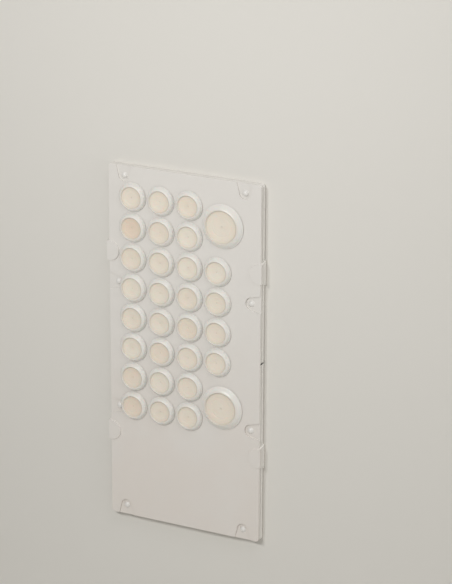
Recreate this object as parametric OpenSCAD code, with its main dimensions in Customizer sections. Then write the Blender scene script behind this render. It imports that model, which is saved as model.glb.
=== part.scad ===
// Cable entry plate: a moulded cover plate with push-in membrane grommets and a wall seal.
// Each piece is drawn lying on the wall plane (z = 0) with its front towards +z, then stood upright
// so that its front faces -Y, its width runs along X and its height along Z.

/* [Plate] */
// Thickness of the front wall
wall_t = 3; // [2.4:0.1:4]
// Depth of the rim, from the front face to its back edge
rim_depth = 7.5; // [6.5:0.1:10]
// Thickness of the rim
rim_t = 2; // [1.6:0.1:2.6]
// Corner radius seen from the front
corner_r = 3; // [2:0.5:8]
// Rounding of the front edge
edge_r = 0.6; // [0.4:0.1:1.5]
// Shadow groove around the rim, from the front face
groove_from = 3; // [2.4:0.1:4]
// Width of the shadow groove
groove_w = 0.8; // [0.4:0.1:1.2]
// Depth of the shadow groove
groove_depth = 0.7; // [0.3:0.1:1]
// From the top edge to the first row of collars
top_margin = 14.25; // [12:0.05:30]
// From the largest collar to the right edge
right_margin = 16.7; // [14:0.1:40]
// Blank part below the last row of collars
blank_h = 94.95; // [40:0.05:160]

/* [Rows of entries] */
// Rows of small entries
rows = 8; // [6:1:10]
// Columns filled with small entries
full_columns = 3; // [1:1:5]
// Free gap between neighbouring small collars
entry_gap = 1.2; // [0.6:0.1:4]
// Free gap between a large collar and its small neighbours
large_gap = 2; // [0.6:0.1:5]

/* [Small entries] */
// Hole in the plate for a small grommet
small_hole_d = 20.5; // [16.5:0.1:25.5]
// Cover of the small collar past its hole
small_flange_w = 3.15; // [2.5:0.05:5]
// Width of the small collar, from its foot to the membrane
small_ring_w = 4.2; // [3.2:0.1:5]

/* [Large entries] */
// Hole in the plate for a large grommet
large_hole_d = 32.5; // [25.5:0.1:40.5]
// Cover of the large collar past its hole
large_flange_w = 3.95; // [3:0.05:6]
// Width of the large collar, from its foot to the membrane
large_ring_w = 5.95; // [4.5:0.05:7]

/* [Grommets] */
// Height of a collar above the front face
collar_h = 4.2; // [3:0.1:6]
// Outward bulge of a collar's side
collar_bulge = 0.5; // [0.2:0.1:0.8]
// Shadow gap under a collar's edge
foot_gap = 0.6; // [0.2:0.1:1]
// Reach of the shadow gap under the collar
foot_step = 1.2; // [0.4:0.1:1.6]
// Flat lip around the membrane
lip_w = 0.5; // [0.3:0.1:0.8]
// Draft of the lip's inner side
lip_draft = 0.8; // [0.2:0.1:1.2]
// Depth of the membrane's edge below the lip
membrane_drop = 1; // [0.5:0.1:1.6]
// Dish of the membrane, edge to centre
membrane_dish = 0.9; // [0.4:0.1:1.4]
// Thickness of the membrane
membrane_t = 0.8; // [0.5:0.1:1.2]
// Radius of the piercing mark at the membrane's centre
mark_r = 0.9; // [0.5:0.1:1.5]
// Depth of the piercing mark
mark_depth = 0.35; // [0.2:0.05:0.45]
// Wall of a grommet's neck
neck_t = 1.5; // [1:0.1:2]
// Play between a neck and its hole
neck_play = 0.1; // [0.05:0.05:0.2]
// Grip of the snap bead behind the plate
bead_grip = 0.9; // [0.6:0.05:1.5]
// Straight land of the snap bead
bead_land = 0.8; // [0.5:0.1:1.2]
// Lead-in length of the snap bead
bead_lead = 1.1; // [0.8:0.1:1.8]
// Step of the bead's tip inside the neck's outline
bead_tip_step = 0.3; // [0.1:0.1:0.6]

/* [Seal] */
// Width of the seal strip
seal_w = 3; // [2:0.1:4]
// Part of the seal that stands out behind the rim
seal_stand = 1.5; // [0.8:0.1:2.5]
// Play on each side of the seal in its channel
seal_play = 0.1; // [0.05:0.05:0.3]
// Thickness of the channel's inner rib
channel_rib_t = 1.4; // [1:0.1:2]

/* [Fixing points] */
// Radius of a fixing boss
boss_r = 3.2; // [2.8:0.1:4]
// Step from the seal channel to a boss
boss_step = 0.6; // [0.4:0.1:2]
// Gap between a boss and the nearest snap bead
boss_gap = 1.05; // [0.4:0.05:4]
// Radius of the blind screw hole
pilot_r = 1.6; // [1.2:0.1:2]
// Depth of the blind screw hole
pilot_depth = 6; // [3.5:0.1:6.6]
// Upper side fixing points, from the top edge
side_fix_top = 108; // [60:0.5:130]
// Lower side fixing points, from the bottom edge
side_fix_bottom = 105.5; // [60:0.5:130]
// End fixing points, from the side edges
end_fix_side = 15.7; // [12:0.1:40]
// Length of a recess, from the plate's edge
recess_len = 14.5; // [12.5:0.1:17]
// Radius of a recess's closed end
recess_end_r = 5.8; // [5:0.1:8]
// Width of a recess at the plate's edge
recess_mouth_w = 16; // [13:0.5:20]
// Depth of a recess at its closed end
recess_depth = 1.6; // [1.2:0.1:2]
// Depth of a recess at the plate's edge
recess_edge_depth = 1; // [0.4:0.1:1.1]
// Radius of the dome over a screw hole
dome_r = 3; // [2:0.1:3.5]
// Height of that dome above its recess
dome_h = 1.9; // [0.8:0.1:2.4]

/* [Edge lugs] */
// Upper lugs on the long edges, from the top edge
lug_from_top = 80; // [40:1:90]
// Lower lugs on the long edges, from the bottom edge
lug_from_bottom = 81; // [40:1:90]
// Radius of a lug at its front
lug_r = 9; // [6:0.5:12]
// Centre of a lug, in from the plate's edge
lug_inset = 1.2; // [0:0.1:3]
// Rise of a lug above the front face
lug_rise = 1.3; // [0.5:0.1:2]
// Spread of a lug towards the wall
lug_flare = 2.5; // [1:0.1:4]
// Reach of a lug past the plate's edge
lug_reach = 1.5; // [0.8:0.1:3]

/* [Pry slots and ribs] */
// Pry slots in the long edges, from the top edge
pry_from_top = 163; // [100:1:220]
// Width of the pry slot in each long edge
pry_w = 1.6; // [1:0.1:3]
// Front web left over a pry slot
pry_web = 1.4; // [1:0.1:2.5]
// Thickness of the stiffening ribs
rib_t = 1.5; // [1:0.1:2]
// Height of the stiffening ribs
rib_h = 1.9; // [1.4:0.1:3]
// Free space around a snap bead
bead_room = 0.9; // [0.5:0.1:2]

/* [Hidden] */
$fn = 64;
// overshoot of a cutting shape past the face that it cuts
cut = 1;

// radii of the entries
small_hole_r = small_hole_d / 2;
large_hole_r = large_hole_d / 2;
small_collar_r = small_hole_r + small_flange_w;
large_collar_r = large_hole_r + large_flange_w;

// levels above the wall plane
rim_back = seal_stand;
face = rim_back + rim_depth;
wall_back = face - wall_t;

// distances in from the plate's edge
channel_in = rim_t + seal_w + 2 * seal_play;
fix_inset = channel_in + boss_step + boss_r;
first_hole_edge = fix_inset + boss_r + boss_gap + bead_grip;
left_margin = first_hole_edge - small_flange_w;

// the pattern: small entries in rows, and two large ones nested beside the last full column
pitch = 2 * small_collar_r + entry_gap;
large_reach = small_collar_r + large_collar_r + large_gap;
large_step = sqrt(large_reach * large_reach - pitch * pitch / 4);
pattern_w = small_collar_r + (full_columns - 1) * pitch + large_step + large_collar_r;
plate_w = left_margin + pattern_w + right_margin;
plate_h = top_margin + 2 * small_collar_r + (rows - 1) * pitch + blank_h;

first_x = -plate_w / 2 + left_margin + small_collar_r;
first_y = plate_h / 2 - top_margin - small_collar_r;
function small_at(place) = [first_x + place[0] * pitch, first_y - place[1] * pitch];

// column and row of each small entry: the column beside the full ones has only its middle rows
small_places = concat(
    [for (column = [0:full_columns - 1], row = [0:rows - 1]) [column, row]],
    [for (row = [2:rows - 3]) [full_columns, row]]
);
large_x = first_x + (full_columns - 1) * pitch + large_step;
large_top = [large_x, first_y - pitch / 2];
large_bottom = [large_x, first_y - (rows - 1.5) * pitch];

// fixing points as [x, y, turn], where the turn points the recess's mouth at the nearest edge
fix_x = plate_w / 2 - fix_inset;
fix_y = plate_h / 2 - fix_inset;
end_x = plate_w / 2 - end_fix_side;
side_top = plate_h / 2 - side_fix_top;
side_bottom = side_fix_bottom - plate_h / 2;
fixings = concat(
    [for (side = [-1, 1]) [side * end_x, fix_y, 0]],
    [for (side = [-1, 1]) [side * end_x, -fix_y, 180]],
    [for (side = [-1, 1], level = [side_top, side_bottom]) [side * fix_x, level, -side * 90]]
);
lug_levels = [plate_h / 2 - lug_from_top, lug_from_bottom - plate_h / 2];

function small_name(place) = str("grommet_small_r", place[1] + 1, "_c", place[0] + 1);

module upright() {
    rotate([90, 0, 0])
        children();
}

module at_fixings() {
    for (fixing = fixings)
        translate([fixing[0], fixing[1], 0])
            rotate(fixing[2])
                children();
}

module at_entries(small_r, large_r) {
    for (place = small_places)
        translate(small_at(place))
            circle(small_r);
    for (place = [large_top, large_bottom])
        translate(place)
            circle(large_r);
}

// plate outline, moved in by a distance
module outline(inset = 0) {
    w = plate_w - 2 * inset;
    h = plate_h - 2 * inset;
    r = max(corner_r - inset, edge_r);
    square([w - 2 * r, h], center = true);
    square([w, h - 2 * r], center = true);
    for (x = [-1, 1], y = [-1, 1])
        translate([x * (w / 2 - r), y * (h / 2 - r)])
            circle(r);
}

// section of the plate's edge, from a corner's axis out to the outline, with its rounded front
module edge_section() {
    square([corner_r, rim_depth - edge_r]);
    square([corner_r - edge_r, rim_depth]);
    translate([corner_r - edge_r, rim_depth - edge_r])
        circle(edge_r);
}

// one straight side of the plate's edge, with the corner at its end
module edge_run(length) {
    rotate([90, 0, 0])
        linear_extrude(length, center = true)
            edge_section();
    translate([0, length / 2, 0])
        rotate_extrude(angle = 90)
            edge_section();
}

// solid slab with rounded corners and a rounded front edge
module slab() {
    inner_w = plate_w - 2 * corner_r;
    inner_h = plate_h - 2 * corner_r;
    linear_extrude(rim_depth)
        square([inner_w, inner_h], center = true);
    for (turn = [0, 180])
        rotate(turn) {
            translate([inner_w / 2, 0, 0])
                edge_run(inner_h);
            translate([0, inner_h / 2, 0])
                rotate(90)
                    edge_run(inner_w);
        }
}

// groove around the side of the rim that throws a shadow line
module shadow_groove() {
    translate([0, 0, face - groove_from - groove_w])
        linear_extrude(groove_w)
            difference() {
                outline(-cut);
                outline(groove_depth);
            }
}

// raised half-round lug that wraps over a long edge and spreads towards the wall
module lug() {
    lug_depth = rim_depth + lug_rise;
    intersection() {
        translate([-lug_inset, 0, 0])
            cylinder(h = lug_depth, r1 = lug_r + lug_flare, r2 = lug_r);
        translate([-2 * lug_r, -2 * lug_r, 0])
            cube([2 * lug_r + lug_reach, 4 * lug_r, lug_depth]);
    }
}

// thumbnail recess around a fixing point: its mouth is at the edge and its floor falls inwards
module recess() {
    end_y = recess_end_r - (recess_len - fix_inset);
    slope = atan((recess_depth - recess_edge_depth) / recess_len);
    translate([0, fix_inset, -recess_edge_depth])
        rotate([slope, 0, 0])
            translate([0, -fix_inset, 0])
                linear_extrude(recess_depth + cut) {
                    translate([0, end_y])
                        circle(recess_end_r);
                    polygon([
                        [-recess_end_r, end_y],
                        [recess_end_r, end_y],
                        [recess_mouth_w / 2, fix_inset],
                        [recess_mouth_w / 2, fix_inset + cut],
                        [-recess_mouth_w / 2, fix_inset + cut],
                        [-recess_mouth_w / 2, fix_inset]
                    ]);
                }
}

// the recesses, which stop at the flat seats under the collars
module recesses() {
    difference() {
        translate([0, 0, face])
            at_fixings()
                recess();
        linear_extrude(face + cut)
            at_entries(small_collar_r, large_collar_r);
    }
}

// dome that closes the front of a screw hole
module dome() {
    ball_r = (dome_r * dome_r + dome_h * dome_h) / (2 * dome_h);
    floor_fall = (recess_depth - recess_edge_depth) * fix_inset / recess_len;
    floor_z = -recess_edge_depth - floor_fall;
    root = (wall_t - recess_depth) / 2;
    intersection() {
        translate([0, 0, floor_z + dome_h - ball_r])
            sphere(ball_r);
        translate([0, 0, floor_z - root])
            cylinder(h = root + dome_h + cut, r = dome_r);
    }
}

// stiffening ribs midway between the rows, carried on down the blank part
module ribs() {
    rib_span = plate_w - 2 * channel_in - channel_rib_t;
    rib_room = plate_h - (top_margin + 2 * small_collar_r) - channel_in - recess_len;
    difference() {
        for (i = [0:floor(rib_room / pitch)])
            translate([0, first_y - (i + 0.5) * pitch, wall_back - rib_h])
                translate([-rib_span / 2, -rib_t / 2, 0])
                    cube([rib_span, rib_t, rib_h]);
        translate([0, 0, wall_back - rib_h - cut])
            linear_extrude(rib_h + cut)
                at_entries(
                    small_hole_r + bead_grip + bead_room,
                    large_hole_r + bead_grip + bead_room
                );
    }
}

// hollow back of the plate, with the seal's channel between the rim and an inner rib
module hollow_back() {
    hollow_h = wall_back - rim_back + cut;
    translate([0, 0, rim_back - cut])
        difference() {
            linear_extrude(hollow_h)
                outline(rim_t);
            linear_extrude(hollow_h)
                difference() {
                    outline(channel_in);
                    outline(channel_in + channel_rib_t);
                }
        }
}

module pry_slots() {
    slot_h = rim_depth - pry_web + cut;
    for (side = [-1, 1])
        translate([side * plate_w / 2, plate_h / 2 - pry_from_top, rim_back - cut + slot_h / 2])
            cube([2 * rim_t, pry_w, slot_h], center = true);
}

module entry_plate() {
    color([0.83, 0.81, 0.78])
        upright() {
            difference() {
                union() {
                    difference() {
                        union() {
                            difference() {
                                translate([0, 0, rim_back])
                                    slab();
                                shadow_groove();
                            }
                            for (side = [-1, 1], level = lug_levels)
                                translate([side * plate_w / 2, level, rim_back])
                                    rotate(90 - side * 90)
                                        lug();
                        }
                        hollow_back();
                    }
                    ribs();
                    at_fixings()
                        cylinder(h = wall_back + (wall_t - recess_depth) / 2, r = boss_r);
                }
                linear_extrude(face + cut)
                    at_entries(small_hole_r, large_hole_r);
                recesses();
                translate([0, 0, -cut])
                    at_fixings()
                        cylinder(h = pilot_depth + cut, r = pilot_r);
                pry_slots();
            }
            translate([0, 0, face])
                at_fixings()
                    dome();
        }
}

module wall_seal() {
    color([0.42, 0.42, 0.41])
        upright()
            linear_extrude(wall_back)
                difference() {
                    outline(rim_t + seal_play);
                    outline(rim_t + seal_play + seal_w);
                }
}

// half section of a collar: a ring that bulges from its foot up to its lip, with its edge off the plate
module collar_section(foot_r, lip_r) {
    lean = atan2(foot_r - lip_r, collar_h);
    chord = norm([foot_r - lip_r, collar_h]);
    bulge_r = (chord * chord / 4 + collar_bulge * collar_bulge) / (2 * collar_bulge);
    middle = [(foot_r + lip_r) / 2, collar_h / 2];
    centre = middle - (bulge_r - collar_bulge) * [cos(lean), sin(lean)];
    intersection() {
        union() {
            translate(centre)
                circle(bulge_r);
            square([centre[0], collar_h]);
        }
        polygon([
            [0, 0],
            [foot_r - foot_step, 0],
            [foot_r - foot_step, foot_gap],
            [foot_r + collar_bulge, foot_gap],
            [foot_r + collar_bulge, collar_h],
            [0, collar_h]
        ]);
    }
}

// one grommet on the z axis, with its height measured from the plate's front face
module grommet_body(hole_r, flange_w, ring_w) {
    foot_r = hole_r + flange_w;
    membrane_r = foot_r - ring_w;
    neck_r = hole_r - neck_play;
    bead_r = hole_r + bead_grip;
    bead_z = -wall_t - bead_land;
    tip_z = bead_z - bead_lead;
    edge_z = collar_h - membrane_drop;
    centre_z = edge_z - membrane_dish;
    difference() {
        union() {
            rotate_extrude()
                collar_section(foot_r, membrane_r + lip_draft + lip_w);
            rotate_extrude()
                polygon([
                    [0, centre_z],
                    [neck_r, centre_z],
                    [neck_r, -wall_t],
                    [bead_r, -wall_t],
                    [bead_r, bead_z],
                    [neck_r - bead_tip_step, tip_z],
                    [0, tip_z]
                ]);
        }
        // dished front of the membrane and drafted inside of the lip
        rotate_extrude()
            polygon([
                [0, centre_z],
                [membrane_r, edge_z],
                [membrane_r + lip_draft, collar_h],
                [membrane_r + lip_draft, collar_h + cut],
                [0, collar_h + cut]
            ]);
        // piercing mark
        translate([0, 0, centre_z - mark_depth])
            cylinder(h = 2 * mark_depth, r1 = 0, r2 = 2 * mark_r);
        // way for the cable behind the membrane
        rotate_extrude()
            polygon([
                [0, tip_z - cut],
                [neck_r - neck_t, tip_z - cut],
                [neck_r - neck_t, 0],
                [membrane_r - membrane_t, edge_z - membrane_t],
                [0, centre_z - membrane_t]
            ]);
    }
}

module grommet(place, hole_r, flange_w, ring_w) {
    color([0.9, 0.88, 0.82])
        upright()
            translate([place[0], place[1], face])
                grommet_body(hole_r, flange_w, ring_w);
}

module small_grommet(place) {
    grommet(small_at(place), small_hole_r, small_flange_w, small_ring_w);
}

module large_grommet(place) {
    grommet(place, large_hole_r, large_flange_w, large_ring_w);
}

entry_plate();
wall_seal();
for (place = small_places)
    small_grommet(place);
large_grommet(large_top);  // grommet_large_top
large_grommet(large_bottom);  // grommet_large_bottom
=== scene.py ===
import math
import random

import bmesh
import bpy
from mathutils import Matrix, Vector


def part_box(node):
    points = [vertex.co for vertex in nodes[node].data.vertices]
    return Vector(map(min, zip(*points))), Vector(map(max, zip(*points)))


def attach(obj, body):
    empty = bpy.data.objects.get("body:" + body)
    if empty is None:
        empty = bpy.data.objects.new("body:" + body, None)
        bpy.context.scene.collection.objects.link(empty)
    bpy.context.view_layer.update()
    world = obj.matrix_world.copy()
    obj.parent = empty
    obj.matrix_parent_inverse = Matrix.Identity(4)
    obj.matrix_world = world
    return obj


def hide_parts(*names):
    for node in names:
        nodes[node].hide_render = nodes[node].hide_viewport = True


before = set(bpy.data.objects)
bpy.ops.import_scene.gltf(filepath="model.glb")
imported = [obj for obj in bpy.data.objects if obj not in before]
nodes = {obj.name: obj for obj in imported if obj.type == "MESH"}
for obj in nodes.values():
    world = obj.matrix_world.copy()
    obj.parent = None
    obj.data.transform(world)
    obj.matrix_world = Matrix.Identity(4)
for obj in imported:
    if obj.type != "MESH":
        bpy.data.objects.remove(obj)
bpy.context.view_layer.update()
print("frame:", len(nodes), "solids")


# shader helpers

class Value:
    # a socket that adds Math nodes when it stands in an expression
    def __init__(self, look, socket):
        self.look, self.socket = look, socket

    def maths(self, operation, first, second):
        return self.look.node("ShaderNodeMath", {"operation": operation}, {0: first, 1: second})

    def __add__(self, other):
        return self.maths("ADD", self, other)

    def __radd__(self, other):
        return self.maths("ADD", other, self)

    def __sub__(self, other):
        return self.maths("SUBTRACT", self, other)

    def __rsub__(self, other):
        return self.maths("SUBTRACT", other, self)

    def __mul__(self, other):
        return self.maths("MULTIPLY", self, other)

    def __rmul__(self, other):
        return self.maths("MULTIPLY", other, self)


class Look:
    # the nodes of one material, or of the world
    def __init__(self, owner):
        owner.use_nodes = True
        self.owner, self.tree = owner, owner.node_tree
        self.tree.nodes.clear()

    def node(self, kind, settings=None, sockets=None, output=0):
        made = self.tree.nodes.new(kind)
        for key, value in (settings or {}).items():
            setattr(made, key, value)
        for key, value in (sockets or {}).items():
            if isinstance(value, Value):
                self.tree.links.new(value.socket, made.inputs[key])
            else:
                made.inputs[key].default_value = value
        return Value(self, made.outputs[output]) if made.outputs else None

    def place(self):
        return self.node("ShaderNodeTexCoord", output="Object")

    def noise(self, scale, detail, rough=0.5):
        sockets = {"Vector": self.place(), "Scale": scale, "Detail": detail, "Roughness": rough}
        return self.node("ShaderNodeTexNoise", {}, sockets, "Fac")

    def attribute(self, name):
        return self.node("ShaderNodeAttribute", {"attribute_name": name}, {}, "Fac")

    def step(self, value, low, high):
        sockets = {"Value": value, "From Min": low, "From Max": high}
        return self.node("ShaderNodeMapRange", {"interpolation_type": "SMOOTHSTEP"}, sockets)

    def mix(self, share, first, second):
        # the Mix node's sockets for colours are inputs 6 and 7 and output 2
        return self.node("ShaderNodeMix", {"data_type": "RGBA"}, {0: share, 6: first, 7: second}, 2)

    def bump(self, height, depth, strength):
        sockets = {"Height": height, "Distance": depth, "Strength": strength}
        return self.node("ShaderNodeBump", {}, sockets)

    def surface(self, sockets):
        self.output(self.node("ShaderNodeBsdfPrincipled", {}, sockets))

    def output(self, shader, kind="ShaderNodeOutputMaterial"):
        self.node(kind, {}, {"Surface": shader})


def colour(red, green, blue):
    return (red, green, blue, 1.0)


# finishes, where a noise is given as its scale, detail and roughness

noiseMiddle = 0.5


def makePlasticLook():
    values = {
        "body": colour(0.692, 0.665, 0.626),
        "warm": colour(0.676, 0.620, 0.566),    # warmer tone, in clouds and more of it towards the bottom
        "pale": colour(0.715, 0.692, 0.655),
        "side": colour(0.800, 0.778, 0.735),    # long sides, painted lighter: painted light
        # domes a little lighter than the body: a painted highlight
        "dome": colour(0.725, 0.705, 0.670),
        "slot": colour(0.030, 0.028, 0.026),    # painted shade down in the pry slots
        "cloud": (14.0, 4.0, 0.55),
        "fine": (900.0, 2.0),
        "grain": (2600.0, 2.0, 0.6),
        "warmShare": 0.75,
        "warmRange": (0.35, 0.95),
        "warmSlope": 2.1,                       # warmer towards the bottom
        "paleShare": 0.35,
        "paleRange": (0.55, 0.9),
        "paleFine": 0.15,
        "rough": 0.46,
        "domeRough": 0.30,
        "roughFine": 0.10,
        "roughCloud": 0.06,
        "grainDepth": 0.00002,
        "grainStrength": 0.35,
        "grainFine": 0.5,
        "refraction": 1.5,
    }
    look = Look(bpy.data.materials.new("shellPlastic"))
    height = look.node("ShaderNodeSeparateXYZ", {}, {"Vector": look.place()}, "Z")
    cloud, fine, grain = (look.noise(*values[key]) for key in ("cloud", "fine", "grain"))
    side, dome, slot = (look.attribute(name) for name in ("side", "dome", "slot"))
    warmth = look.step(cloud - values["warmSlope"] * height, *values["warmRange"])
    base = look.mix(warmth * values["warmShare"], values["body"], values["warm"])
    paleness = look.step(cloud + values["paleFine"] * fine, *values["paleRange"])
    base = look.mix(paleness * values["paleShare"], base, values["pale"])
    # painted light on the long sides, a painted highlight on the domes, painted shade in the pry slots
    base = look.mix(side, base, values["side"])
    base = look.mix(dome, base, values["dome"])
    base = look.mix(slot, base, values["slot"])
    rough = values["rough"] + values["roughFine"] * (fine - noiseMiddle)
    rough = rough + values["roughCloud"] * (cloud - noiseMiddle)
    bumps = grain + values["grainFine"] * fine
    look.surface({
        "Base Color": base,
        "Roughness": rough + dome * (values["domeRough"] - values["rough"]),
        "Normal": look.bump(bumps, values["grainDepth"], values["grainStrength"]),
        "IOR": values["refraction"],
    })
    return look.owner


def makeCollarLook():
    values = {
        "milk": colour(0.735, 0.716, 0.673),
        "cream": colour(0.655, 0.614, 0.548),
        "inside": colour(0.600, 0.535, 0.440),  # lip's inner side, painted darker: painted shade in the hollow over the film
        "cloud": (70.0, 3.0),
        "fine": (1500.0, 2.0),
        "cloudShare": 0.3,
        "cloudRange": (0.45, 0.8),
        "lipShare": 0.7,
        "lipRange": (1.06, 1.22),
        "insideShadeShare": 0.5,
        "insideShadeRange": (1.02, 1.10),
        "rough": 0.32,
        "roughCloud": 0.12,
        "roughFine": 0.05,
        "grainDepth": 0.00001,
        "grainStrength": 0.3,
        "scatter": 0.06,
        "scatterDepth": 0.0012,
        "refraction": 1.46,
    }
    look = Look(bpy.data.materials.new("milkyRubber"))
    reach = look.attribute("reach")             # 1 at the film's edge, more towards the foot
    cloud, fine = (look.noise(*values[key]) for key in ("cloud", "fine"))
    lip = 1 - look.step(reach, *values["lipRange"])
    # painted shade on the lip's inner side
    inside = 1 - look.step(reach, *values["insideShadeRange"])
    creamy = values["cloudShare"] * look.step(cloud, *values["cloudRange"]) + values["lipShare"] * lip
    base = look.mix(creamy, values["milk"], values["cream"])
    base = look.mix(values["insideShadeShare"] * inside, base, values["inside"])
    rough = values["rough"] + values["roughCloud"] * (cloud - noiseMiddle)
    look.surface({
        "Base Color": base,
        "Roughness": rough + values["roughFine"] * (fine - noiseMiddle),
        "Normal": look.bump(fine, values["grainDepth"], values["grainStrength"]),
        "Subsurface Weight": values["scatter"],
        "Subsurface Scale": values["scatterDepth"],
        "IOR": values["refraction"],
    })
    return look.owner


def makeFilmLook():
    values = {
        "cream": colour(0.755, 0.702, 0.604),
        "orange": colour(0.720, 0.605, 0.488),
        "shadeAndMarks": colour(0.590, 0.520, 0.420),    # darker cream: painted shade towards the lip and in the crease at the lip, and darker at the mark and in smudges near the middle
        "cloud": (90.0, 4.0, 0.6),
        "fine": (1300.0, 2.0),
        "tintCloud": 0.35,
        "rimShadeShare": 0.15,                      # painted shade, slowly darker towards the lip
        "rimShadeRange": (0.55, 0.98),
        # painted shade in the crease at the lip
        "lipShare": 0.35,
        "lipRange": (0.93, 1.0),
        "markShare": 0.5,
        "markRange": (0.03, 0.11),
        "smudgeShare": 0.35,
        "smudgeReach": (0.1, 0.75),
        "smudgeCloud": (0.42, 0.75),
        "rough": 0.44,
        "roughCloud": 0.15,
        "grainDepth": 0.00002,
        "grainStrength": 0.4,
        "grainCloud": 0.6,
        "scatter": 0.10,
        "scatterDepth": 0.0010,
        "refraction": 1.5,
    }
    look = Look(bpy.data.materials.new("creamFilm"))
    tint = look.attribute("tint")
    reach = look.attribute("reach")             # 0 at the middle of a film, 1 at its lip
    cloud, fine = (look.noise(*values[key]) for key in ("cloud", "fine"))
    orange = tint + values["tintCloud"] * (cloud - noiseMiddle)
    base = look.mix(orange, values["cream"], values["orange"])
    rimShade = look.step(reach, *values["rimShadeRange"])
    lip = look.step(reach, *values["lipRange"])
    mark = 1 - look.step(reach, *values["markRange"])
    smudge = (1 - look.step(reach, *values["smudgeReach"])) * look.step(cloud, *values["smudgeCloud"])
    # painted shade towards and at the lip, and the darker mark and smudges
    shadeAndMarks = values["rimShadeShare"] * rimShade + values["lipShare"] * lip
    shadeAndMarks = shadeAndMarks + values["markShare"] * mark + values["smudgeShare"] * smudge
    bumps = fine + values["grainCloud"] * cloud
    look.surface({
        "Base Color": look.mix(shadeAndMarks, base, values["shadeAndMarks"]),
        "Roughness": values["rough"] + values["roughCloud"] * (cloud - noiseMiddle),
        "Normal": look.bump(bumps, values["grainDepth"], values["grainStrength"]),
        "Subsurface Weight": values["scatter"],
        "Subsurface Scale": values["scatterDepth"],
        "IOR": values["refraction"],
    })
    return look.owner


def makeFoamLook():
    values = {
        "foam": colour(0.380, 0.378, 0.368),
        "pore": colour(0.190, 0.188, 0.182),
        "cloud": (400.0, 3.0),
        "cellScale": 1800.0,
        "cellCloud": 0.3,
        "cellRange": (0.12, 0.5),
        "rough": 0.85,
        "roughCloud": 0.1,
        "poreDepth": 0.00015,
        "poreStrength": 0.6,
    }
    look = Look(bpy.data.materials.new("sealFoam"))
    sockets = {"Vector": look.place(), "Scale": values["cellScale"]}
    cell = look.node("ShaderNodeTexVoronoi", {"feature": "F1"}, sockets, "Distance")
    cloud = look.noise(*values["cloud"])
    skin = look.step(cell + values["cellCloud"] * (cloud - noiseMiddle), *values["cellRange"])
    look.surface({
        "Base Color": look.mix(skin, values["pore"], values["foam"]),
        "Roughness": values["rough"] + values["roughCloud"] * (cloud - noiseMiddle),
        "Normal": look.bump(skin, values["poreDepth"], values["poreStrength"]),
    })
    return look.owner


plasticLook = makePlasticLook()
collarLook = makeCollarLook()
filmLook = makeFilmLook()
foamLook = makeFoamLook()
print("finishes: 4")


# modelling helpers

mergeDistance = 0.000002


def clearSelection():
    bpy.ops.object.select_all(action="DESELECT")


def pickUp(piece):
    clearSelection()
    piece.select_set(True)
    bpy.context.view_layer.objects.active = piece


def select(piece, kind, test):
    # in edit mode, selects the verts, edges or faces that pass the test
    bpy.ops.mesh.select_mode(type=kind)
    bpy.ops.mesh.select_all(action="DESELECT")
    shape = bmesh.from_edit_mesh(piece.data)
    parts = {"VERT": shape.verts, "EDGE": shape.edges, "FACE": shape.faces}[kind]
    for part in parts:
        part.select_set(test(part))
    bmesh.update_edit_mesh(piece.data)


def edgeMiddle(edge):
    return (edge.verts[0].co + edge.verts[1].co) / 2


def copySolid(nodeName, pieceName, flatAngle):
    # a merged copy of a solid's mesh, with its flat faces made whole again, left in edit mode
    piece = bpy.data.objects.new(pieceName, nodes[nodeName].data.copy())
    bpy.context.scene.collection.objects.link(piece)
    pickUp(piece)
    bpy.ops.mesh.customdata_custom_splitnormals_clear()
    bpy.ops.object.mode_set(mode="EDIT")
    bpy.ops.mesh.select_all(action="SELECT")
    bpy.ops.mesh.remove_doubles(threshold=mergeDistance)
    bpy.ops.mesh.dissolve_limited(angle_limit=math.radians(flatAngle))
    return piece


def softenEdges(piece, test, width, segments, sharpAngle):
    # rounds the sharp edges that pass the test, and keeps the flats flat
    select(piece, "EDGE", lambda edge: edge.is_manifold
           and edge.calc_face_angle() > math.radians(sharpAngle) and test(edge))
    bpy.ops.mesh.bevel(offset=width, segments=segments, profile=0.5, affect="EDGES", clamp_overlap=False)
    bpy.ops.object.mode_set(mode="OBJECT")
    bpy.ops.object.shade_smooth_by_angle(angle=math.radians(sharpAngle))
    even = piece.modifiers.new("evenFlats", "WEIGHTED_NORMAL")
    even.keep_sharp = True
    bpy.ops.object.modifier_apply(modifier=even.name)


def setFinish(piece, *looks):
    piece.data.materials.clear()
    for look in looks:
        piece.data.materials.append(look)


def setMarks(piece, name, domain, marks):
    # keeps one number for each vert or face, for the finish to read
    attribute = piece.data.attributes.new(name, "FLOAT", domain)
    attribute.data.foreach_set("value", [float(value) for value in marks])


# plate

plateValues = {
    "flatAngle": 0.5,
    "edgeWidth": 0.00022,
    "edgeSegments": 2,
    "sharpAngle": 30,
    "face": -0.0090,
    "lugReach": 0.0015,         # lugs past the plate's edge
    "paintedSideDepth": 0.0003,        # what lies this close to a long edge is its side, which gets painted light
    "paintedSideBack": 0.0008,         # sides start this far behind the face
    "paintedSideTilt": 0.8,            # and don't face forward or back more than this
    "fixInset": 0.0090,         # domes, in from the nearest edge
    "endFix": 0.0157,           # domes by the corners, in from the side edges
    "sideFixTop": 0.108,        # domes on the long sides, from the top and bottom edges
    "sideFixBottom": 0.1055,
    "domeRadius": 0.0029,
    "domeBack": 0.0020,         # domes end this far behind the face
    "domeTilt": -0.1,
    "slotFromTop": 0.163,
    "slotHalf": 0.0012,
    "slotDepth": (0.0003, 0.0018),   # walls of the pry slots that get painted shade, in from the side edges
}


def middleOf(nodeName):
    low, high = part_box(nodeName)
    return (low + high) / 2


def domePlaces(wide, tall):
    values = plateValues
    endX, endZ = wide - values["endFix"], tall - values["fixInset"]
    sideX = wide - values["fixInset"]
    levels = (tall - values["sideFixTop"], values["sideFixBottom"] - tall)
    places = [(x * endX, z * endZ) for x in (-1, 1) for z in (-1, 1)]
    return places + [(x * sideX, z) for x in (-1, 1) for z in levels]


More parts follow.
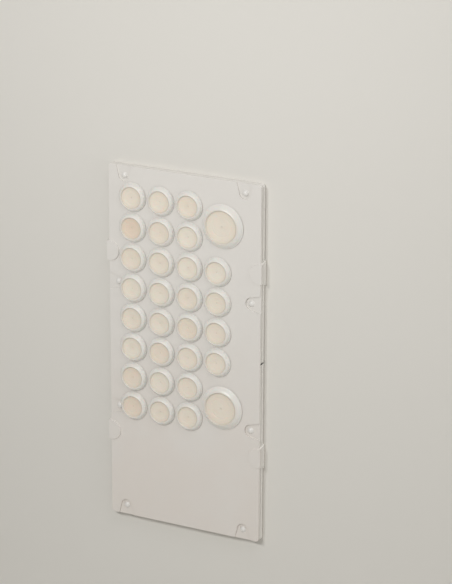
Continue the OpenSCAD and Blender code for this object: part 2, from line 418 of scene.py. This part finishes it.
def markPlate(plate):
    # marks the two long sides for painted light, the domes over the screw holes for gloss and a painted
    # highlight, and the walls of the pry slots for painted shade
    values = plateValues
    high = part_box("entry_plate")[1]
    wide, tall = high.x - values["lugReach"], high.z
    domes = domePlaces(wide, tall)
    slotLevel = tall - values["slotFromTop"]
    slotStart, slotEnd = values["slotDepth"]

    def onPaintedLitSide(vert):
        back = vert.co.y - values["face"]
        outside = abs(vert.co.x) > wide - values["paintedSideDepth"]
        return outside and back > values["paintedSideBack"] and abs(vert.normal.y) < values["paintedSideTilt"]

    def onDome(vert):
        back = vert.co.y - values["face"]
        near = min(math.hypot(vert.co.x - x, vert.co.z - z) for x, z in domes)
        facing = vert.normal.y < values["domeTilt"]
        return facing and near < values["domeRadius"] and back < values["domeBack"]

    def inSlotShade(part):
        depth = wide - abs(part.center.x)
        level = abs(part.center.z - slotLevel) < values["slotHalf"]
        return level and slotStart < depth < slotEnd

    setMarks(plate, "side", "POINT", [onPaintedLitSide(vert) for vert in plate.data.vertices])
    setMarks(plate, "dome", "POINT", [onDome(vert) for vert in plate.data.vertices])
    setMarks(plate, "slot", "FACE", [inSlotShade(part) for part in plate.data.polygons])


def makePlate():
    values = plateValues
    holes = []
    for name in nodes:
        if name.startswith("grommet"):
            low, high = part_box(name)
            holes.append((middleOf(name), (high.x - low.x) / 2))

    def clearOfHoles(edge):
        middle = edgeMiddle(edge)
        return all(math.hypot(middle.x - hole.x, middle.z - hole.z) > radius
                   for hole, radius in holes)

    plate = copySolid("entry_plate", "plateShell", values["flatAngle"])
    softenEdges(plate, clearOfHoles, values["edgeWidth"], values["edgeSegments"], values["sharpAngle"])
    markPlate(plate)
    setFinish(plate, plasticLook)
    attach(plate, "root")
    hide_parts("entry_plate")
    return plate


plate = makePlate()
print("plate:", len(plate.data.polygons), "faces")


# wall seal

sealValues = {"flatAngle": 0.5, "edgeWidth": 0.0004, "edgeSegments": 3, "sharpAngle": 40}


def makeSeal():
    values = sealValues
    seal = copySolid("wall_seal", "foamSeal", values["flatAngle"])
    softenEdges(seal, lambda edge: True, values["edgeWidth"], values["edgeSegments"], values["sharpAngle"])
    setFinish(seal, foamLook)
    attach(seal, "root")
    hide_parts("wall_seal")
    return seal


seal = makeSeal()
print("seal:", len(seal.data.polygons), "faces")


# grommets, turned from a profile that runs from the middle of the film, over the lip and collar,
# round the neck and back to the middle of the film's inside

grommetValues = {
    "segments": 72,
    "height": 0.0042,       # collar above the plate
    "bulge": 0.0005,        # roundness of the collar's flank
    "footGap": 0.0006,      # shadow gap under the collar's edge
    "footStep": 0.0012,
    "lip": 0.0005,
    "lipDraft": 0.0008,
    "drop": 0.0010,         # film's rim below the lip
    "dish": 0.0009,         # film's middle below its rim
    "film": 0.0008,         # film's thickness
    "markRadius": 0.0009,
    "markDepth": 0.00035,
    "tearAt": 0.64,         # shallow ring moulded in the film, as a share of its radius
    "tearWidth": 0.0005,
    "tearDepth": 0.00005,
    "wall": 0.0030,         # plate that the neck passes through
    "neck": 0.0015,
    "neckPlay": 0.0001,
    "beadGrip": 0.0009,
    "beadLand": 0.0008,
    "beadLead": 0.0011,
    "beadStep": 0.0003,
    "soft": 0.00012,        # rounding of the small corners
    "cornerShares": (0.3, 0.4, 1.5),                  # points of a rounded corner, as shares of soft
    "lipShares": (0.2, 1.2),                          # those of the lip's outer corner
    "footShares": (0.1, 1.4),                         # those of the collar's edge
    "edgeShare": 0.2,                                 # and that of an edge that stays crisp
    "markShares": (0.6, 1.3),                         # rings inside and outside the mark's edge
    "markSlope": 0.5,                                 # depth at the inner one
    "tearFlat": 0.4,                                  # flat bottom of the tear ring
    "filmShares": (0.2, 0.3, 0.4, 0.5, 0.57),         # rings of the film inside the tear ring
    "rimShares": (0.74, 0.82, 0.9, 0.95),             # and outside it
    "backShares": (0.85, 0.7, 0.5, 0.3, 0.1, 0.02),   # and on the film's inside
    "startRadius": 0.0002,
    "flankSteps": 12,
    "sharpAngle": 50,
    "tolerance": 0.000001,
    "filmInset": 0.00002,   # faces of the film lie this far inside its edge
    "filmBack": 0.0006,     # no deeper than this behind its middle
    "filmTilt": -0.2,       # and face forward
}
smallValues = {"hole": 0.01025, "flange": 0.00315, "ring": 0.0042}
largeValues = {"hole": 0.01625, "flange": 0.00395, "ring": 0.00595}
tintValues = {
    "seed": 11,
    "spread": 0.16,
    "middle": 0.16,
    "grommet_small_r2_c1": 0.95,   # the most orange one
    "grommet_small_r7_c1": 0.50,
    "grommet_small_r8_c1": 0.62,
    "grommet_small_r5_c3": 0.45,
    "grommet_small_r6_c2": 0.42,
}


def grommetProfile(size):
    values = grommetValues
    soft = values["soft"]
    foot = size["hole"] + size["flange"]
    film = foot - size["ring"]
    neck = size["hole"] - values["neckPlay"]
    bead = size["hole"] + values["beadGrip"]
    lipInside = film + values["lipDraft"]
    lipOutside = lipInside + values["lip"]
    top = values["height"]
    rim = top - values["drop"]
    low = rim - values["dish"]
    sphere = (film ** 2 + values["dish"] ** 2) / (2 * values["dish"])

    def dish(radius):
        return low + sphere - math.sqrt(sphere ** 2 - radius ** 2)

    near, middle, far = (share * soft for share in values["cornerShares"])
    lipNear, lipFar = (share * soft for share in values["lipShares"])
    footNear, footFar = (share * soft for share in values["footShares"])
    slight = values["edgeShare"] * soft
    mark = values["markRadius"]
    markInside, markOutside = (share * mark for share in values["markShares"])
    points = [(values["startRadius"], low - values["markDepth"])]
    points += [(markInside, dish(markInside) - values["markSlope"] * values["markDepth"])]
    points += [(mark, dish(mark) + slight), (markOutside, dish(markOutside))]
    tear, half = values["tearAt"] * film, values["tearWidth"] / 2
    flat = values["tearFlat"] * half
    points += [(share * film, dish(share * film)) for share in values["filmShares"]]
    points += [(tear - half, dish(tear)), (tear - flat, dish(tear) - values["tearDepth"])]
    points += [(tear + flat, dish(tear) - values["tearDepth"]), (tear + half, dish(tear + half))]
    points += [(share * film, dish(share * film)) for share in values["rimShares"]]
    points += [(film - far, rim - near), (film - middle, rim + middle)]
    points += [(film + near, rim + far), (lipInside - near, top - far)]
    points += [(lipInside + middle, top - middle), (lipInside + far, top)]
    points += [(lipOutside - lipFar, top), (lipOutside - lipNear, top - near)]
    flank = Vector((lipOutside - foot, top))
    out = Vector((flank.y, -flank.x)).normalized()
    for step in range(values["flankSteps"] - 1, 1, -1):
        share = step / values["flankSteps"]
        point = Vector((foot, 0)) + share * flank + 4 * values["bulge"] * share * (1 - share) * out
        points.append((point.x, point.y))
    gap, seat = values["footGap"], foot - values["footStep"]
    points += [(foot - footNear, gap + footFar), (foot - middle, gap + middle)]
    points += [(foot - footFar, gap), (seat, gap), (seat, 0)]
    points += [(neck + far, 0), (neck + middle, -middle), (neck, -far)]
    wall = -values["wall"]
    points += [(neck, wall + slight), (bead - soft, wall), (bead, wall - soft)]
    points += [(bead, wall - values["beadLand"])]
    tip = wall - values["beadLand"] - values["beadLead"]
    points += [(neck - values["beadStep"], tip + soft), (neck - values["beadStep"] - soft, tip)]
    inside = neck - values["neck"]
    points += [(inside + soft, tip), (inside, tip + soft), (inside, 0)]
    points += [(film - values["film"], rim - values["film"])]
    points += [(share * film, dish(share * film) - values["film"]) for share in values["backShares"]]
    return points, film


def turnGrommet(name, size, face):
    # draws a ring out along the profile, step by step, on the axis through the origin
    values = grommetValues
    profile, film = grommetProfile(size)
    firstRadius, firstHeight = profile[0]
    clearSelection()
    bpy.ops.mesh.primitive_circle_add(vertices=values["segments"], radius=firstRadius, fill_type="NOTHING",
                                      location=(0, face - firstHeight, 0), rotation=(math.pi / 2, 0, 0))
    piece = bpy.context.object
    piece.name = name
    bpy.ops.object.transform_apply(location=True, rotation=True, scale=True)
    bpy.ops.object.mode_set(mode="EDIT")
    bpy.ops.mesh.select_mode(type="VERT")
    bpy.ops.mesh.select_all(action="SELECT")
    radius, height = profile[0]
    for nextRadius, nextHeight in profile[1:]:
        bpy.ops.mesh.extrude_region_move(TRANSFORM_OT_translate={"value": (0, height - nextHeight, 0)})
        grow = nextRadius / radius
        bpy.ops.transform.resize(value=(grow, 1, grow), center_override=(0, face - nextHeight, 0))
        radius, height = nextRadius, nextHeight
    bpy.ops.mesh.merge(type="CENTER")

    def atStart(vert):
        level = abs(vert.co.y - face + firstHeight) < values["tolerance"]
        return level and vert.co.xz.length < firstRadius + values["tolerance"]

    select(piece, "VERT", atStart)
    bpy.ops.mesh.merge(type="CENTER")
    bpy.ops.mesh.select_all(action="SELECT")
    bpy.ops.mesh.normals_make_consistent(inside=False)
    setFinish(piece, collarLook, filmLook)
    filmMiddle = face - values["height"] + values["drop"] + values["dish"]

    def onFilm(part):
        middle = part.calc_center_median()
        inside = middle.xz.length < film - values["filmInset"]
        return inside and part.normal.y < values["filmTilt"] and middle.y < filmMiddle + values["filmBack"]

    select(piece, "FACE", onFilm)
    piece.active_material_index = 1
    bpy.ops.object.material_slot_assign()
    bpy.ops.object.mode_set(mode="OBJECT")
    bpy.ops.object.shade_smooth_by_angle(angle=math.radians(values["sharpAngle"]))
    setMarks(piece, "reach", "POINT", [vert.co.xz.length / film for vert in piece.data.vertices])
    return piece


def placeGrommet(pattern, nodeName, pieceName, turn, tint):
    piece = pattern.copy()
    piece.data = pattern.data.copy()
    piece.name = pieceName
    bpy.context.scene.collection.objects.link(piece)
    middle = middleOf(nodeName)
    piece.data.transform(Matrix.Translation((middle.x, 0, middle.z)) @ Matrix.Rotation(turn, 4, "Y"))
    setMarks(piece, "tint", "POINT", [tint] * len(piece.data.vertices))
    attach(piece, "root")
    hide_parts(nodeName)
    return piece


def makeGrommets():
    chance = random.Random(tintValues["seed"])
    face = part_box("grommet_small_r1_c1")[0].y + grommetValues["height"]
    patterns = {
        "small": turnGrommet("smallPattern", smallValues, face),
        "large": turnGrommet("largePattern", largeValues, face),
    }
    made = []
    for name in sorted(name for name in nodes if name.startswith("grommet")):
        kind = name.split("_")[1]
        turn = chance.uniform(0, 2 * math.pi)
        tint = tintValues["middle"] + tintValues["spread"] * chance.uniform(-1, 1)
        tint = tintValues.get(name, tint)
        pieceName = kind + "Entry" + name.removeprefix("grommet_" + kind)
        made.append(placeGrommet(patterns[kind], name, pieceName, turn, tint))
    for pattern in patterns.values():
        bpy.data.objects.remove(pattern)
    return made


grommets = makeGrommets()
print("grommets:", len(grommets), "with", len(grommets[0].data.polygons), "faces each")


# wall and floor

stageValues = {
    "wall": colour(0.665, 0.645, 0.600),
    "wallPatch": colour(0.680, 0.660, 0.620),
    "patchShare": 0.3,
    "patchRange": (0.3, 0.8),
    "wallCloud": (5.0, 3.0),
    "wallRough": 0.55,
    "peel": (900.0, 2.0),
    "peelDepth": 0.00002,
    "peelStrength": 0.4,
    "floor": colour(0.700, 0.690, 0.660),
    "floorPatch": colour(0.680, 0.670, 0.640),
    "floorShare": 0.2,
    "floorCloud": (3.0, 3.0),
    "floorRough": 0.7,
    "floorHeight": -0.42,
    "size": 8.0,
    "cutOut": (0.130, 0.312),   # hole in the wall behind the plate
}


def makeWallLook():
    # shows from the front only, and lets the lamp behind it reach the back of the part
    values = stageValues
    look = Look(bpy.data.materials.new("paintedWall"))
    cloud = look.step(look.noise(*values["wallCloud"]), *values["patchRange"])
    peel = look.noise(*values["peel"])
    paint = look.node("ShaderNodeBsdfPrincipled", {}, {
        "Base Color": look.mix(cloud * values["patchShare"], values["wall"], values["wallPatch"]),
        "Roughness": values["wallRough"],
        "Normal": look.bump(peel, values["peelDepth"], values["peelStrength"]),
    })
    behind = look.node("ShaderNodeNewGeometry", {}, {}, "Backfacing")
    lampRay = look.node("ShaderNodeLightPath", {}, {}, "Is Shadow Ray")
    seeThrough = behind.maths("MAXIMUM", behind, lampRay)
    clear = look.node("ShaderNodeBsdfTransparent")
    look.output(look.node("ShaderNodeMixShader", {}, {0: seeThrough, 1: paint, 2: clear}))
    return look.owner


def makeFloorLook():
    values = stageValues
    look = Look(bpy.data.materials.new("paleFloor"))
    cloud = look.noise(*values["floorCloud"])
    look.surface({
        "Base Color": look.mix(cloud * values["floorShare"], values["floor"], values["floorPatch"]),
        "Roughness": values["floorRough"],
    })
    return look.owner


def makeStage():
    values = stageValues
    clearSelection()
    bpy.ops.mesh.primitive_plane_add(size=values["size"], rotation=(math.pi / 2, 0, 0))
    wall = bpy.context.object
    wall.name = "wall"
    bpy.ops.object.transform_apply(location=True, rotation=True, scale=True)
    bpy.ops.object.mode_set(mode="EDIT")
    bpy.ops.mesh.select_all(action="SELECT")
    bpy.ops.mesh.inset(thickness=values["size"] / 4)   # leaves a face half as wide as the wall
    wide, high = (2 * side / values["size"] for side in values["cutOut"])
    bpy.ops.transform.resize(value=(wide, 1, high), center_override=(0, 0, 0))
    bpy.ops.mesh.delete(type="FACE")
    bpy.ops.object.mode_set(mode="OBJECT")
    setFinish(wall, makeWallLook())
    clearSelection()
    bpy.ops.mesh.primitive_plane_add(size=values["size"], location=(0, 0, values["floorHeight"]))
    floor = bpy.context.object
    floor.name = "floor"
    setFinish(floor, makeFloorLook())


makeStage()


# light

worldValues = {
    "tint": colour(1.0, 0.99, 0.97),
    "strength": 0.29,
    "backdrop": colour(0.80, 0.79, 0.77),   # what the camera sees past the stage
    "backdropStrength": 1.0,
}
lampValues = {
    "front": {"from": (0.06, -0.80, 0.40), "to": (0, 0, 0.06), "size": 0.16, "power": 2.50},
    "key": {"from": (-0.19, -1.00, 0.66), "to": (0, 0, 0.04), "size": 0.14, "power": 3.25},
    "gloss": {"from": (0.75, -0.85, 1.65), "to": (0, 0, 0), "size": 0.8, "power": 3.8},
    "side": {"from": (1.45, -0.38, 0.25), "to": (0.06, 0, 0), "size": 0.7, "power": 2.7},
    "back": {"from": (0.1, 1.9, 0.40), "to": (0, 0, 0), "size": 1.5, "power": 24.0},
}


def addLamp(name, values):
    clearSelection()
    bpy.ops.object.light_add(type="AREA", location=values["from"])
    lamp = bpy.context.object
    lamp.name = name
    lamp.data.shape = "DISK"
    lamp.data.size = values["size"]
    lamp.data.energy = values["power"]
    aim = Vector(values["to"]) - Vector(values["from"])
    lamp.rotation_euler = aim.to_track_quat("-Z", "Y").to_euler()


def lightScene():
    values = worldValues
    world = bpy.data.worlds.new("studio")
    bpy.context.scene.world = world
    look = Look(world)
    seen = look.node("ShaderNodeLightPath", {}, {}, "Is Camera Ray")
    soft = {"Color": values["tint"], "Strength": values["strength"]}
    pale = {"Color": values["backdrop"], "Strength": values["backdropStrength"]}
    soft, pale = (look.node("ShaderNodeBackground", {}, sockets) for sockets in (soft, pale))
    look.output(look.node("ShaderNodeMixShader", {}, {0: seen, 1: soft, 2: pale}), "ShaderNodeOutputWorld")
    for name, lamp in lampValues.items():
        addLamp(name + "Lamp", lamp)


lightScene()


# camera

cameraValues = {
    "imageHeight": 584,
    "focalPixels": 2517,
    "azimuth": 27.05,
    "elevation": 18.96,
    "roll": 0.249,
    "aim": (0.04156, -0.0090, 0.06518),
    "distance": 2.1879,
    "sensor": 36.0,         # along the picture's taller side
    "nearClip": 0.01,
}


def addCamera():
    values = cameraValues
    turn, rise, roll = (math.radians(values[key]) for key in ("azimuth", "elevation", "roll"))
    back = Vector((math.sin(turn) * math.cos(rise), -math.cos(turn) * math.cos(rise), math.sin(rise)))
    clearSelection()
    bpy.ops.object.camera_add(location=Vector(values["aim"]) + values["distance"] * back)
    camera = bpy.context.object
    facing = Matrix.Rotation(turn, 4, "Z") @ Matrix.Rotation(math.pi / 2 - rise, 4, "X")
    camera.rotation_euler = (facing @ Matrix.Rotation(roll, 4, "Z")).to_euler()
    camera.data.sensor_width = values["sensor"]
    camera.data.lens = values["focalPixels"] * values["sensor"] / values["imageHeight"]
    camera.data.clip_start = values["nearClip"]
    bpy.context.scene.camera = camera


addCamera()
bpy.context.scene.view_settings.view_transform = "Standard"
print("stage, lamps and camera placed")
